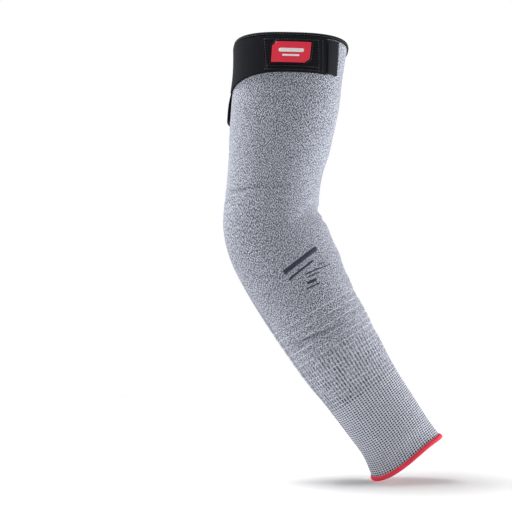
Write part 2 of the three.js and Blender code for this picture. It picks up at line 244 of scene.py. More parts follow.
def new_finish(name, **surface):
    """A material with one shader, whose inputs are set by name with underscores for spaces."""
    material = bpy.data.materials.new(name)
    material.use_nodes = True
    shader = material.node_tree.nodes["Principled BSDF"]
    for key, value in surface.items():
        shader.inputs[key.replace("_", " ")].default_value = value
    return material, material.node_tree, shader


# Wales are the columns that run down the tube: 68 of them, 4 mm apart at the elbow and 3 mm at the wrist, where each
# is a rib. Courses are the rows round it, 2.15 mm apart. A tuck course stands out from the others: below the elbow
# it is every fourth, then every third and second, and at the wrist every one.
WALES = 68
COLUMNS_PER_WALE = 4
COURSE = 2.15
TUCK_ROWS = [(272.0, 4), (310.0, 3), (334.0, 2), (376.0, 1)]
RIB_START, RIB_FULL = 300.0, 345.0
RIB_GROOVE = 0.6
GROOVE_REACH = 0.15
CLOSE_START, CLOSE_FULL = 340.0, 376.0
COURSE_DIP = 0.35
TUCK_PUFF = 0.2
INNER_PUFF, INNER_MIDDLE, INNER_REACH = 0.15, 88.0, 45.0
SEAM_DEPTH = 0.35
SEAM_REACH = 2.2
# How dark the creases are painted, as a share of their depth: a painted shade.
CREASE_SHADE = 0.55

# Soft waves of the slack knit: those on the inner side show in the outline, and the others lie beside the creases.
# The columns are millimetres from the top, degrees round, millimetres of lift, millimetres along, degrees wide, and
# millimetres down for each degree.
WAVES = [
    (112, 90, 1.0, 12, 32, 0.0),
    (242, 88, 1.1, 8, 34, 0.0),
    (263, 86, -0.5, 6, 36, 0.0),
    (287, 88, -1.1, 10, 32, 0.0),
    (329, 88, -0.9, 8, 30, 0.0),
    (299, -18, 0.6, 3.0, 34, 0.095),
    (152, -42, 0.6, 3.0, 34, -0.07),
    (172, 60, -0.9, 4.0, 18, -0.3),
    (186, 40, -0.8, 5.0, 14, -0.6),
]

# Sharp creases across the front, in the same columns: one below the elbow and a fainter one above it. They are narrow,
# so little light reaches them, and they show as dark lines; that shade is also painted into the knit's colour.
CREASES = [(303, -18, -1.4, 1.4, 38, 0.095), (156.5, -28, -0.7, 1.5, 52, -0.07)]

tuck_from, tuck_every = np.array(TUCK_ROWS).T
FINE_STEP = 0.25
fine = np.arange(0.0, SLEEVE_LENGTH + FINE_STEP, FINE_STEP)
every = tuck_every[np.clip(np.searchsorted(tuck_from, fine, side="right") - 1, 0, None)]
tuck_count = np.cumsum(FINE_STEP / (COURSE * every))


def tuck_at(distance):
    """The number of tuck courses down to a distance: the sum of small steps down, each divided by the pitch there."""
    return np.interp(distance, fine, tuck_count)


def ramp(value, low, high):
    """A smooth step from 0 at low to 1 at high: 3 t squared less 2 t cubed."""
    t = np.clip((value - low) / (high - low), 0, 1)
    return t * t * (3 - 2 * t)


def wale_angles(distance, wale):
    """The angles of evenly spaced wales in each row: the strides of small turns round the row are summed, and read
    backwards at each wale's share of the whole way round."""
    turns = np.arange(-180.0, 181.0, 1.5)
    strides = np.linalg.norm(np.diff(on_sleeve(distance[:, None], turns[None, :], 0.0), axis=1), axis=-1)
    gone = np.cumsum(np.pad(strides, ((0, 0), (1, 0))), 1)
    return np.array([np.interp(wale * row[-1] / WALES, row, turns) for row in gone])


def seam_angle(distance):
    """Where the tube's side seam lies: it comes round from behind the elbow and runs down the forearm's outer side."""
    return -110.0 + 38.0 * ramp(distance, 120.0, 300.0) - 14.0 * ramp(distance, 330.0, 457.0)


# Where each zone of mesh rows starts and how far apart its rows are: close at the creases, the tuck courses and the
# rib, where they are a half, a quarter or about a third of a course apart.
ROW_ZONES = [
    (KNIT_TOP, 4.5),
    (151.0, 0.5),
    (161.0, 2.3),
    (262.0, COURSE / 2),
    (297.0, COURSE / 4),
    (310.0, COURSE / 2),
    (345.0, 0.7167),
]
INNER_ROWS = 16
zone_ends = [start for start, pitch in ROW_ZONES[1:]] + [KNIT_BOTTOM]
zones = [np.arange(start, end - pitch / 2, pitch) for (start, pitch), end in zip(ROW_ZONES, zone_ends)]
knit_rows = np.concatenate([*zones, [KNIT_BOTTOM]])
inner_rows = np.linspace(KNIT_BOTTOM, KNIT_TOP, INNER_ROWS)
wale_columns = np.arange(WALES * COLUMNS_PER_WALE + 1) / COLUMNS_PER_WALE
all_rows = np.concatenate([knit_rows, inner_rows])
all_angles = wale_angles(all_rows, wale_columns[:-1])
distance, wale = np.meshgrid(knit_rows, wale_columns[:-1], indexing="ij")
around = all_angles[: len(knit_rows)]
rib = ramp(distance, RIB_START, RIB_FULL)
groove = bell(wale % 1 - 0.5, GROOVE_REACH)
between = 0.5 - 0.5 * np.cos(2 * np.pi * tuck_at(distance))
close = ramp(distance, CLOSE_START, CLOSE_FULL)
slack = ramp(distance, TUCK_ROWS[0][0] - 6, TUCK_ROWS[0][0] + 6) * (1 - close)
puff = TUCK_PUFF + INNER_PUFF * bell(turned(INNER_MIDDLE, around), INNER_REACH)
relief = -RIB_GROOVE * rib * groove - COURSE_DIP * close * between + slack * puff * between
on_seam = bell(turned(seam_angle(distance), around), SEAM_REACH)
relief -= SEAM_DEPTH * on_seam
for at, middle, high, long, wide, slope in WAVES:
    aside = turned(middle, around)
    relief += high * bell(distance - at - slope * aside, long) * bell(aside, wide)
# The mask of thin dark lines in the knit's colour: the seam's own dark line, and over the creases a painted shade.
pressed = on_seam
for at, middle, high, long, wide, slope in CREASES:
    aside = turned(middle, around)
    crease = bell(distance - at - slope * aside, long) * bell(aside, wide)
    relief += high * crease
    pressed = np.maximum(pressed, -CREASE_SHADE * high * crease)
outer = on_sleeve(distance, around, relief)
inner = on_sleeve(inner_rows[:, None], all_angles[len(knit_rows) :], -KNIT_WALL)

# Each corner holds its wale, its tuck course and its distance from the top: the stitches are drawn from these three.
all_rows = np.append(all_rows, KNIT_TOP)
knit_values = np.stack(np.broadcast_arrays(wale_columns, tuck_at(all_rows)[:, None], all_rows[:, None]), -1)

# Melange yarn: dark and pale fibres are spun together, so each leg of each loop has its own grey, set off against the
# legs on all four sides of it. There are three loops across a wale and two down a course, and the two legs of each
# slope to its middle, which makes the small Vs of plain knit. The fibres are matt, with a soft sheen at the tube's
# edges.
knit, tree, shader = new_finish("melange grey knit", Roughness=0.95, Sheen_Weight=0.26, Sheen_Roughness=0.6)
shader.inputs["Sheen Tint"].default_value = linear("#E4E7F2")
shader.inputs["Specular IOR Level"].default_value = 0.1
LOOPS_PER_WALE = 3
LOOP_HEIGHT = COURSE / 2
LEG_SLOPE = -1.3


def calculate(operation, *values):
    """A step of arithmetic on numbers and node outputs."""
    return add_node(tree, "ShaderNodeMath", dict(enumerate(values)), operation=operation).outputs[0]


def smooth(value, low, high):
    """A smooth step of a node's output from 0 at low to 1 at high."""
    limits = {"Value": value, "From Min": low, "From Max": high}
    return add_node(tree, "ShaderNodeMapRange", limits, interpolation_type="SMOOTHSTEP").outputs[0]


def mixed(share, first, second):
    """The first colour turned into the second by a share."""
    return add_node(tree, "ShaderNodeMix", {0: share, 6: first, 7: second}, data_type="RGBA").outputs[2]


cloth = add_node(tree, "ShaderNodeAttribute", attribute_name="cloth").outputs["Vector"]
place = add_node(tree, "ShaderNodeTexCoord").outputs["Object"]
parts = add_node(tree, "ShaderNodeSeparateXYZ", {0: cloth})
loop_across = calculate("MULTIPLY", parts.outputs["X"], LOOPS_PER_WALE)
from_middle = calculate("ABSOLUTE", calculate("SUBTRACT", calculate("FRACT", loop_across), 0.5))
loop_down = calculate("MULTIPLY_ADD", from_middle, LEG_SLOPE, calculate("DIVIDE", parts.outputs["Z"], LOOP_HEIGHT))
leg = calculate("MULTIPLY", loop_across, 2.0)


def chance(across, down, seed):
    """A random share for each cell of a grid, whose whole numbers are across and down."""
    cell = add_node(tree, "ShaderNodeCombineXYZ", {0: across, 1: down, 2: seed})
    return add_node(tree, "ShaderNodeTexWhiteNoise", {"Vector": cell.outputs[0]}).outputs["Value"]


leg_across, leg_down = calculate("FLOOR", leg), calculate("FLOOR", loop_down)
here = chance(leg_across, leg_down, 0.5)
beside = calculate("ADD", *[chance(calculate("ADD", leg_across, step), leg_down, 0.5) for step in (-1.0, 1.0)])
below = calculate("ADD", *[chance(leg_across, calculate("ADD", leg_down, step), 0.5) for step in (-1.0, 1.0)])
contrast = calculate("MULTIPLY_ADD", calculate("ADD", beside, below), -0.23, here)
fibre = add_node(tree, "ShaderNodeTexNoise", {"Vector": place, "Scale": 1500.0, "Detail": 2.0, "Roughness": 0.7})
grey = calculate("MULTIPLY_ADD", contrast, 1.25, calculate("MULTIPLY_ADD", fibre.outputs["Fac"], 0.3, 0.25))
yarn_colour = add_node(tree, "ShaderNodeValToRGB", {"Fac": grey})
stops = yarn_colour.color_ramp.elements
stops[0].position, stops[0].color = 0.05, linear("#2C303D")
stops[1].position, stops[1].color = 0.95, linear("#E2E6F1")
stops.new(0.5).color = linear("#8B8F9D")

# The rib: dark grooves between the wales, which the tuck courses close in part, so each leaves a row of holes. The
# holes are painted near black, a painted shade, and the ribs' tops paler, a painted highlight. Above the wrist some
# holes are nearly closed. At the wrist all are open, and they are wider.
WRIST_START, WRIST_FULL = 364.0, 382.0
from_groove = calculate("ABSOLUTE", calculate("SUBTRACT", calculate("FRACT", parts.outputs["X"]), 0.5))
from_tuck = calculate("PINGPONG", parts.outputs["Y"], 0.5)
courses_apart = tuck_every[0]
for start in tuck_from[1:]:
    courses_apart = calculate("SUBTRACT", courses_apart, calculate("GREATER_THAN", parts.outputs["Z"], start))
from_tuck = calculate("MULTIPLY", calculate("MULTIPLY", from_tuck, courses_apart), COURSE)
at_wrist = smooth(parts.outputs["Z"], WRIST_START, WRIST_FULL)
hole_chance = chance(calculate("FLOOR", parts.outputs["X"]), calculate("FLOOR", parts.outputs["Y"]), 1.5)
from_course = calculate("PINGPONG", from_tuck, COURSE / 2)
off_course = calculate("MULTIPLY_ADD", smooth(from_course, 0.1, 0.5), 0.5, 0.5)
hole = calculate("MULTIPLY", smooth(from_tuck, 0.15, 0.45), off_course)
hole_reach = calculate("MULTIPLY_ADD", at_wrist, 0.2, 0.24)
hole = calculate("MULTIPLY", hole, smooth(from_groove, hole_reach, 0.1))
hole = calculate("MULTIPLY", hole, smooth(parts.outputs["Z"], RIB_START, RIB_FULL))
least = calculate("MULTIPLY_ADD", at_wrist, 0.85, 0.05)
hole = calculate("MULTIPLY", hole, add_node(tree, "ShaderNodeMapRange", {0: hole_chance, 3: least}).outputs[0])
# The ribs' tops painted paler: a painted highlight.
ridge_highlight = calculate("MULTIPLY", smooth(parts.outputs["Z"], RIB_START, RIB_FULL), smooth(from_groove, 0.2, 0.45))
ridge_highlight = calculate("MULTIPLY", ridge_highlight, calculate("MULTIPLY_ADD", at_wrist, 0.15, 0.35))
highlighted_ridges = mixed(ridge_highlight, yarn_colour.outputs[0], linear("#E8EBFA"))
# Holes painted near black: a painted shade for the dark inside them.
hole_shaded = mixed(hole, highlighted_ridges, linear("#0A0B10"))

# Tuck courses: a pale yarn floats across each of them, in dashes above the wrist.
DASHES_PER_WALE = 2.6
dash_across = calculate("FLOOR", calculate("MULTIPLY", parts.outputs["X"], DASHES_PER_WALE))
dash = chance(dash_across, calculate("ROUND", parts.outputs["Y"]), 2.5)
dash = calculate("MAXIMUM", smooth(dash, 0.15, 0.75), at_wrist)
pale = calculate("MULTIPLY", smooth(from_tuck, 0.6, 0.25), dash)
pale = calculate("MULTIPLY", pale, smooth(parts.outputs["Z"], TUCK_ROWS[0][0], TUCK_ROWS[0][0] + 8))
pale = calculate("MULTIPLY", pale, calculate("MULTIPLY_ADD", at_wrist, 0.1, 0.7))
knit_colour = mixed(pale, hole_shaded, linear("#E4E7F5"))

# The seam shows as a thin dark line of its own, and the creases as thin dark lines of painted shade. The overlock's
# needle has pulled a row of holes above the hem.
NEEDLE_ROW = 451.0
seam_line_and_crease_shade = add_node(tree, "ShaderNodeAttribute", attribute_name="pressed").outputs["Fac"]
knit_colour = mixed(calculate("MULTIPLY", seam_line_and_crease_shade, 0.6), knit_colour, linear("#2B2E38"))
# The needle holes are painted near black: a painted shade for the dark seen through them.
from_needle = calculate("ABSOLUTE", calculate("SUBTRACT", parts.outputs["Z"], NEEDLE_ROW))
needle_hole_shade = calculate("MULTIPLY", smooth(from_needle, 1.2, 0.5), smooth(from_groove, 0.3, 0.1))
knit_colour = mixed(calculate("MULTIPLY", needle_hole_shade, 0.9), knit_colour, linear("#0E0F14"))
tree.links.new(knit_colour, shader.inputs["Base Color"])
yarn_round = calculate("SINE", calculate("MULTIPLY", calculate("FRACT", loop_down), np.pi))
leg_round = calculate("SINE", calculate("MULTIPLY", calculate("FRACT", leg), np.pi))
height = calculate("MULTIPLY_ADD", yarn_round, leg_round, calculate("MULTIPLY", hole, -2.0))
bump = add_node(tree, "ShaderNodeBump", {"Height": height, "Strength": 0.5, "Distance": 0.0003})
tree.links.new(bump.outputs[0], shader.inputs["Normal"])
knit_sleeve = grid_piece(
    "knit_sleeve", np.vstack([outer, inner]), knit_values, knit, ("knit_sleeve",), columns_closed=True
)
# The line mask goes on the mesh as the attribute pressed: the seam's dark line and the creases' painted shade.
lines = knit_sleeve.data.attributes.new("pressed", "FLOAT", "POINT")
lines.data.foreach_set("value", np.pad(pressed, ((0, len(inner)), (0, 0))).astype(np.float32).ravel())


# Arm binding.
# Black ribbed elastic tape, folded over the knit's raw edge at the arm opening and stitched through both legs.
BINDING_HEIGHT = 4.4
BINDING_TAPE = 1.1
RING_RADIUS = 57.0
GAP = 0.3


def folded_tape(out, back, height, points=9):
    """The outline of a tape folded over the knit: up its outer leg, half round its back, down its inner leg, and the
    same way home a tape's thickness inside. out and back are the lifts of its two faces."""
    radius = (out - back) / 2
    turn = np.linspace(0, np.pi, points)
    outside = np.stack([(out + back) / 2 + radius * np.cos(turn), radius * (1 - np.sin(turn))], -1)
    thin = radius - BINDING_TAPE
    inside = np.stack([(out + back) / 2 + thin * np.cos(turn), BINDING_TAPE + thin * (1 - np.sin(turn))], -1)
    legs = np.array([[out, height - 0.35], [out, radius + 0.6]])
    ends = np.array([[out - 0.35, height], [out - BINDING_TAPE + 0.25, height], [out - BINDING_TAPE, height - 0.3]])
    mirror = np.array([[-1, 1]])
    shift = np.array([[out + back, 0]])
    loop = np.vstack([ends[:1], legs, outside[1:-1], (legs * mirror + shift)[::-1], (ends * mirror + shift)])
    loop = np.vstack([loop, inside[::-1][1:-1], ends[::-1][:2]])
    return loop[:, 0], loop[:, 1]


def ring_values(angles, distances):
    """Corner values of a ring: millimetres round it, which are its radius times the angle, nothing, and millimetres
    from the top."""
    return np.stack(np.broadcast_arrays(angles * RING_RADIUS * np.pi / 180, 0.0, distances[:, None]), -1)


ring_angles = np.linspace(-180, 180, 241)
lift, run = folded_tape(GAP + BINDING_TAPE, -(KNIT_WALL + GAP + BINDING_TAPE), BINDING_HEIGHT)
binding_points = on_sleeve(run[:, None], ring_angles[None, :-1], lift[:, None])
tape, tree, shader = new_finish("black ribbed elastic tape", Roughness=0.8, Sheen_Weight=0.06, Sheen_Roughness=0.4)
shader.inputs["Base Color"].default_value = linear("#0D0E10")
shader.inputs["Specular IOR Level"].default_value = 0.12
attribute = add_node(tree, "ShaderNodeAttribute", attribute_name="cloth")
ribs = add_node(
    tree, "ShaderNodeTexWave", {"Vector": attribute.outputs["Vector"], "Scale": 0.32, "Distortion": 0.3},
    bands_direction="X",
)
bump = add_node(tree, "ShaderNodeBump", {"Height": ribs.outputs["Fac"], "Strength": 0.5, "Distance": 0.0003})
tree.links.new(bump.outputs[0], shader.inputs["Normal"])
grid_piece(
    "arm_binding", binding_points, ring_values(ring_angles, np.append(run, run[0])), tape,
    ("arm_binding",), columns_closed=True,
)


# Wrist hem.
# Red bulked polyester thread, overlocked round the knit's lower edge: each wrap leans a little and stands out as a
# small ridge, and the loops make the upper edge wavy.
HEM_HEIGHT = 5.0
HEM_THREAD = 1.3
HEM_WRAPS = 130
hem_angles = np.linspace(-180, 180, HEM_WRAPS * 6 + 1)
hem_out, hem_back = GAP + HEM_THREAD, -(KNIT_WALL + GAP + HEM_THREAD)
turn = np.linspace(0, 2 * np.pi, 24, endpoint=False)
hem_radius = (hem_out - hem_back) / 2
hem_rise = HEM_HEIGHT / 2 * (1 + np.sin(turn))
hem_side = np.sign(np.cos(turn)) * np.abs(np.cos(turn)) ** 0.7
wrap = np.sin(np.radians(hem_angles[None, :-1]) * HEM_WRAPS + turn[:, None] * 1.5)
hem_lift = (hem_out + hem_back) / 2 + (hem_radius - 0.2 + 0.2 * wrap) * hem_side[:, None]
scallop = 0.35 * np.sin(np.radians(hem_angles[None, :-1]) * HEM_WRAPS) * ramp(hem_rise, 3.2, 5.0)[:, None]
hem_distance = SLEEVE_LENGTH - hem_rise[:, None] + scallop
hem_points = on_sleeve(hem_distance, hem_angles[None, :-1], hem_lift)
red_thread, tree, shader = new_finish("red overlock thread", Roughness=0.75, Sheen_Weight=0.1, Sheen_Roughness=0.4)
shader.inputs["Sheen Tint"].default_value = linear("#FF9AA2")
attribute = add_node(tree, "ShaderNodeAttribute", attribute_name="cloth")
strands = add_node(tree, "ShaderNodeTexNoise", {"Vector": attribute.outputs["Vector"], "Scale": 1.6, "Detail": 3.0})
thread_colour = add_node(tree, "ShaderNodeValToRGB", {"Fac": strands.outputs["Fac"]})
thread_colour.color_ramp.elements[0].position, thread_colour.color_ramp.elements[0].color = 0.3, linear("#DC2338")
thread_colour.color_ramp.elements[1].position, thread_colour.color_ramp.elements[1].color = 0.7, linear("#FA4660")
tree.links.new(thread_colour.outputs[0], shader.inputs["Base Color"])
hem_rows = np.append(hem_rise, hem_rise[0])
grid_piece(
    "wrist_hem", hem_points, ring_values(hem_angles, hem_rows), red_thread,
    ("wrist_hem",), columns_closed=True,
)


# Strap.
# Black woven elastic across the front of the upper arm, wider where it goes round the outer side. A second layer is
# box stitched on at the front to carry the patch, so its two ends stand up as low steps.
STRAP_TOP = BINDING_HEIGHT + GAP
STRAP_WIDTH = 36.0
STRAP_THICKNESS = 2.0
STRAP_FLARE = 11.6
FLARE_MIDDLE, FLARE_REACH = -87.0, 42.0
STRAP_MIDDLE = STRAP_TOP + STRAP_WIDTH / 2
STRAP_SLANT = 0.13
STRAP_HIGH = GAP + STRAP_THICKNESS
STRAP_START = -118.0
STRAP_RADIUS = 58.0
TAB_START = 36.3
TAB_LENGTH = 13.6
PANEL_START, PANEL_END = -27.0, 29.6
PANEL_HEIGHT = 0.3


def angle_after(start, lengths, distance, lift):
    """The angles reached by going lengths round the sleeve from a start angle: the lengths of small steps are summed
    and read backwards."""
    turns = np.arange(-180, 180.25, 0.25)
    strides = np.linalg.norm(np.diff(on_sleeve(distance, turns, lift), axis=0), axis=1) * 1000
    gone = np.concatenate([[0], np.cumsum(strides)])
    return np.interp(np.interp(start, turns, gone) + lengths, gone, turns)


def spaced(length, pitch, ease):
    """Places from 0 to length: close together within ease of both ends, and a pitch apart between."""
    near = ease * (1 - np.cos(np.linspace(0, np.pi / 2, 5)))
    middle = np.linspace(ease, length - ease, max(3, int((length - 2 * ease) / pitch) + 1))[1:-1]
    return np.concatenate([near, middle, (length - near)[::-1]])


def fall(place, length, ease):
    """How far a rounded edge lies below its face: a quarter circle within ease of each end."""
    inset = np.clip(1 - np.minimum(place, length - place) / ease, 0, 1)
    return ease * (1 - np.sqrt(1 - inset**2))


def strap_piece(name, angles, top, bottom, low, high, ease, material, stands_for, extra=None, slant=STRAP_SLANT):
    """A strip of webbing on the sleeve. Its outline goes down the outer face and up the inner one, a share of the
    width at a time. top and bottom are given for each angle, and the first and last angles are rounded too."""
    width = np.mean(bottom - top)
    share = spaced(width, 0.9, ease) / width
    lengthwise = np.radians(angles - angles[0]) * STRAP_RADIUS
    end_fall = fall(lengthwise, lengthwise[-1], ease)
    down = top + (bottom - top) * share[:, None]
    edge_fall = fall(share[:, None] * width, width, ease)
    face = high - np.maximum(edge_fall, end_fall)
    if extra is not None:
        face = face + extra(down, angles[None, :])
    under = low + 0 * face
    distances = np.vstack([down, down[::-1]])
    lifts = np.vstack([face, under])
    turns = angles[None, :] + slant * (distances - STRAP_MIDDLE)
    values = np.stack(np.broadcast_arrays(lengthwise[None, :], lifts, distances), -1)
    values = np.vstack([values, values[:1]])
    return grid_piece(name, on_sleeve(distances, turns, lifts), values, material, stands_for)


def strap_bottom(angles):
    """The strap's lower edge: its top plus its width, plus a bell where it goes round the outer side."""
    return STRAP_TOP + STRAP_WIDTH + STRAP_FLARE * bell(turned(FLARE_MIDDLE, angles), FLARE_REACH)


def strap_relief(down, angles):
    """The second layer's step up, with both stitch lines of its ends pressed in."""
    panel = ramp(angles, PANEL_START - 0.4, PANEL_START + 0.4) * (1 - ramp(angles, PANEL_END - 0.4, PANEL_END + 0.4))
    pressed = bell(angles - PANEL_START - 2.2, 0.8) + bell(angles - PANEL_END + 2.2, 0.8)
    return PANEL_HEIGHT * panel - 0.2 * pressed * panel


TAB_END = float(angle_after(TAB_START, TAB_LENGTH, STRAP_MIDDLE, STRAP_HIGH))
strap_end = float(angle_after(TAB_START, -GAP, STRAP_MIDDLE, STRAP_HIGH))
strap_angles = np.arange(STRAP_START, strap_end, 0.7)
strap_angles = np.append(strap_angles[:-1], strap_end)
webbing, tree, shader = new_finish("black woven elastic", Roughness=0.82, Sheen_Weight=0.03, Sheen_Roughness=0.35)
shader.inputs["Sheen Tint"].default_value = linear("#AEB2C0")
shader.inputs["Specular IOR Level"].default_value = 0.12
attribute = add_node(tree, "ShaderNodeAttribute", attribute_name="cloth")
cords = add_node(
    tree, "ShaderNodeTexWave", {"Vector": attribute.outputs["Vector"], "Scale": 0.28, "Distortion": 0.4},
    bands_direction="Z",
)
picks = add_node(
    tree, "ShaderNodeTexWave", {"Vector": attribute.outputs["Vector"], "Scale": 0.4, "Distortion": 0.6},
    bands_direction="X",
)
weave = add_node(tree, "ShaderNodeMath", {0: cords.outputs["Fac"], 1: picks.outputs["Fac"]}, operation="MULTIPLY")
weave_colour = add_node(tree, "ShaderNodeValToRGB", {"Fac": weave.outputs[0]})
weave_colour.color_ramp.elements[0].color = linear("#0F1015")
weave_colour.color_ramp.elements[1].color = linear("#25262E")
tree.links.new(weave_colour.outputs[0], shader.inputs["Base Color"])
bump = add_node(tree, "ShaderNodeBump", {"Height": weave.outputs[0], "Strength": 0.6, "Distance": 0.0003})
tree.links.new(bump.outputs[0], shader.inputs["Normal"])
strap_piece(
    "strap_band", strap_angles, STRAP_TOP, strap_bottom(strap_angles), GAP, STRAP_HIGH, 0.7, webbing,
    ("strap_band",), strap_relief,
)


# Pull tab.
# The strap's free end: a thicker square of brushed black tape, with the hook tape behind it, and a stitched hem.
TAB_INSET = 1.2
TAB_THICKNESS = 3.0
tab_angles = TAB_START + spaced(TAB_END - TAB_START, 0.6, 0.9)
tab_cloth, tree, shader = new_finish("black brushed loop tape", Roughness=0.9, Sheen_Weight=0.1, Sheen_Roughness=0.5)
shader.inputs["Sheen Tint"].default_value = linear("#C9CCD6")
shader.inputs["Specular IOR Level"].default_value = 0.2
attribute = add_node(tree, "ShaderNodeAttribute", attribute_name="cloth")
pile = add_node(tree, "ShaderNodeTexNoise", {"Vector": attribute.outputs["Vector"], "Scale": 1.3, "Detail": 4.0})
pile_colour = add_node(tree, "ShaderNodeValToRGB", {"Fac": pile.outputs["Fac"]})
pile_colour.color_ramp.elements[0].position, pile_colour.color_ramp.elements[0].color = 0.3, linear("#101116")
pile_colour.color_ramp.elements[1].position, pile_colour.color_ramp.elements[1].color = 0.75, linear("#25262D")
tree.links.new(pile_colour.outputs[0], shader.inputs["Base Color"])
bump = add_node(tree, "ShaderNodeBump", {"Height": pile.outputs["Fac"], "Strength": 0.7, "Distance": 0.0005})
tree.links.new(bump.outputs[0], shader.inputs["Normal"])
strap_piece(
    "strap_tab", tab_angles, STRAP_TOP + TAB_INSET, STRAP_TOP + STRAP_WIDTH - TAB_INSET + 0 * tab_angles, GAP,
    GAP + TAB_THICKNESS, 0.9, tab_cloth, ("strap_tab",),
)


# Loop pad.
# A pad of black loop pile sewn on below the strap at the outer side. Its top edge follows the strap's lower edge and
# is thin; its foot is full and cut straight.
PAD_WIDTH = 26.0
PAD_HEIGHT = 31.9
PAD_THICKNESS = 2.8
PAD_START = -113.0
pad_top = float(strap_bottom(FLARE_MIDDLE)) + GAP
pad_middle = pad_top + PAD_HEIGHT / 2
pad_end = float(angle_after(PAD_START, PAD_WIDTH, pad_middle, GAP))
pad_angles = PAD_START + spaced(pad_end - PAD_START, 0.8, 0.8)
pad_edge = strap_bottom(pad_angles - STRAP_SLANT * (pad_top - STRAP_MIDDLE)) + GAP


def pad_relief(down, angles):
    """How far the pad falls short of its full thickness: a parabola from six tenths at the top edge to none."""
    share = (down - pad_top) / PAD_HEIGHT
    return -0.6 * PAD_THICKNESS * (1 - np.clip(share * 1.4, 0, 1)) ** 2 + 0 * angles


pile_tape, tree, shader = new_finish("black loop pile tape", Roughness=0.95, Sheen_Weight=0.02, Sheen_Roughness=0.5)
attribute = add_node(tree, "ShaderNodeAttribute", attribute_name="cloth")
tufts = add_node(tree, "ShaderNodeTexNoise", {"Vector": attribute.outputs["Vector"], "Scale": 1.8, "Detail": 3.0})
shader.inputs["Base Color"].default_value = linear("#08080A")
shader.inputs["Specular IOR Level"].default_value = 0.2
bump = add_node(tree, "ShaderNodeBump", {"Height": tufts.outputs["Fac"], "Strength": 0.8, "Distance": 0.0005})
tree.links.new(bump.outputs[0], shader.inputs["Normal"])
strap_piece(
    "loop_pad", pad_angles, pad_edge, pad_top + PAD_HEIGHT + 0 * pad_angles, GAP, GAP + PAD_THICKNESS, 0.5, pile_tape,
    ("loop_pad",), pad_relief, slant=0.0,
)


# Stitching.
# Black lockstitch thread: a row round the binding, a box round the patch's layer, and a row at the end of the pull
# tab and one near the strap's other end. Each stitch is a short capsule that follows the cloth.
STITCH_LENGTH = 2.0
STITCH_PITCH = 2.7
STITCH_RADIUS = 0.36


def stitches(distances, angles, downward, lift):
    """Capsules at the given places. Each is a ring of six points carried along five stations, its radius the square
    root of one less the station squared. downward is 1 where they lie down the sleeve and 0 where round it."""
    station = np.array([-1.0, -0.8, 0.0, 0.8, 1.0])
    ring = np.arange(6) * np.pi / 3
    along = STITCH_LENGTH / 2 * station[:, None] + 0 * ring
    radius = STITCH_RADIUS * np.sqrt(1.02 - station**2)[:, None]
    aside, up = radius * np.cos(ring), radius * np.sin(ring)
    down_part = np.where(downward, along, aside)
    round_part = np.where(downward, aside, along)
    d = np.asarray(distances, float)[:, None, None] + down_part
    turn = np.asarray(angles, float)[:, None, None] + np.degrees(round_part / STRAP_RADIUS) + STRAP_SLANT * down_part
    points = on_sleeve(d, turn, np.asarray(lift, float)[..., None, None] + up)
    row, col = grid_faces(5, 6, False, True)
    one = row * 6 + col % 6
    caps = np.array([[5, 4, 1, 0], [4, 3, 2, 1], [24, 25, 28, 29], [25, 26, 27, 28]])
    one = np.vstack([one, caps])
    faces = (np.arange(len(d))[:, None, None] * 30 + one).reshape(-1, 4)
    return points.reshape(-1, 3), faces


def down_rows(angle, start, end, lift):
    """Stitches down the sleeve at an angle, a pitch apart from start to end."""
    places = np.arange(start, end, STITCH_PITCH)
    return stitches(places, angle + STRAP_SLANT * (places - STRAP_MIDDLE), 1, np.full(len(places), lift))


def round_rows(distance, start, end, lift):
    """Stitches round the sleeve at a distance from its top, a pitch apart from start to end."""
    places = np.arange(start, end, np.degrees(STITCH_PITCH / STRAP_RADIUS))
    slanted = places + STRAP_SLANT * (distance - STRAP_MIDDLE)
    return stitches(np.full(len(places), distance), slanted, 0, np.full(len(places), lift))


on_panel = STRAP_HIGH + PANEL_HEIGHT + 0.1
on_tab = GAP + TAB_THICKNESS + 0.05
panel_low, panel_high = STRAP_TOP + 3.6, STRAP_TOP + STRAP_WIDTH - 1.8
rows = [
    round_rows(3.0, -180, 180, GAP + BINDING_TAPE + 0.1),
    round_rows(panel_low, PANEL_START + 3, PANEL_END - 2, on_panel),
    round_rows(panel_high, PANEL_START + 1, PANEL_END, on_panel),
    round_rows(panel_high - 3.6, PANEL_START + 3, PANEL_END - 2, on_panel),
    down_rows(PANEL_START + 2.2, panel_low, panel_high, on_panel - 0.15),
    down_rows(PANEL_END - 2.2, panel_low, panel_high, on_panel - 0.15),
    down_rows(PANEL_END + 1.8, panel_low, panel_high, STRAP_HIGH + 0.1),
    down_rows(TAB_END - 2.2, panel_low + 0.5, panel_high - 0.5, on_tab),
    down_rows(STRAP_START + 3.5, STRAP_TOP + 2, STRAP_TOP + STRAP_WIDTH - 1, STRAP_HIGH + 0.1),
]
thread_points = np.vstack([points for points, faces in rows])
starts = np.cumsum([0] + [len(points) for points, faces in rows])
thread_faces = np.vstack([faces + start for (points, faces), start in zip(rows, starts)])
thread, tree, shader = new_finish("black polyester thread", Roughness=0.55, Sheen_Weight=0.1)
shader.inputs["Base Color"].default_value = linear("#2F3037")
piece("stitching", thread_points, thread_faces, np.zeros((*thread_faces.shape, 3)), thread)


# Patch frame and patch.
# A tray of moulded black rubber with a bevelled rim, sewn to the strap, holds a moulded red plate. Two opposite
# corners of both are cut off. The plate carries two plain raised bars in white.
PATCH_WIDTH, PATCH_HEIGHT, PATCH_CUT = 38.5, 21.0, 4.5
PATCH_LEVEL = STRAP_MIDDLE - 1.0
PATCH_THICKNESS = 1.2
FRAME_RIM, FRAME_FLOOR = 1.8, 0.6
FRAME_LOW = STRAP_HIGH + GAP
POCKET_FLOOR = FRAME_LOW + FRAME_FLOOR
FRAME_HIGH = POCKET_FLOOR + GAP + PATCH_THICKNESS


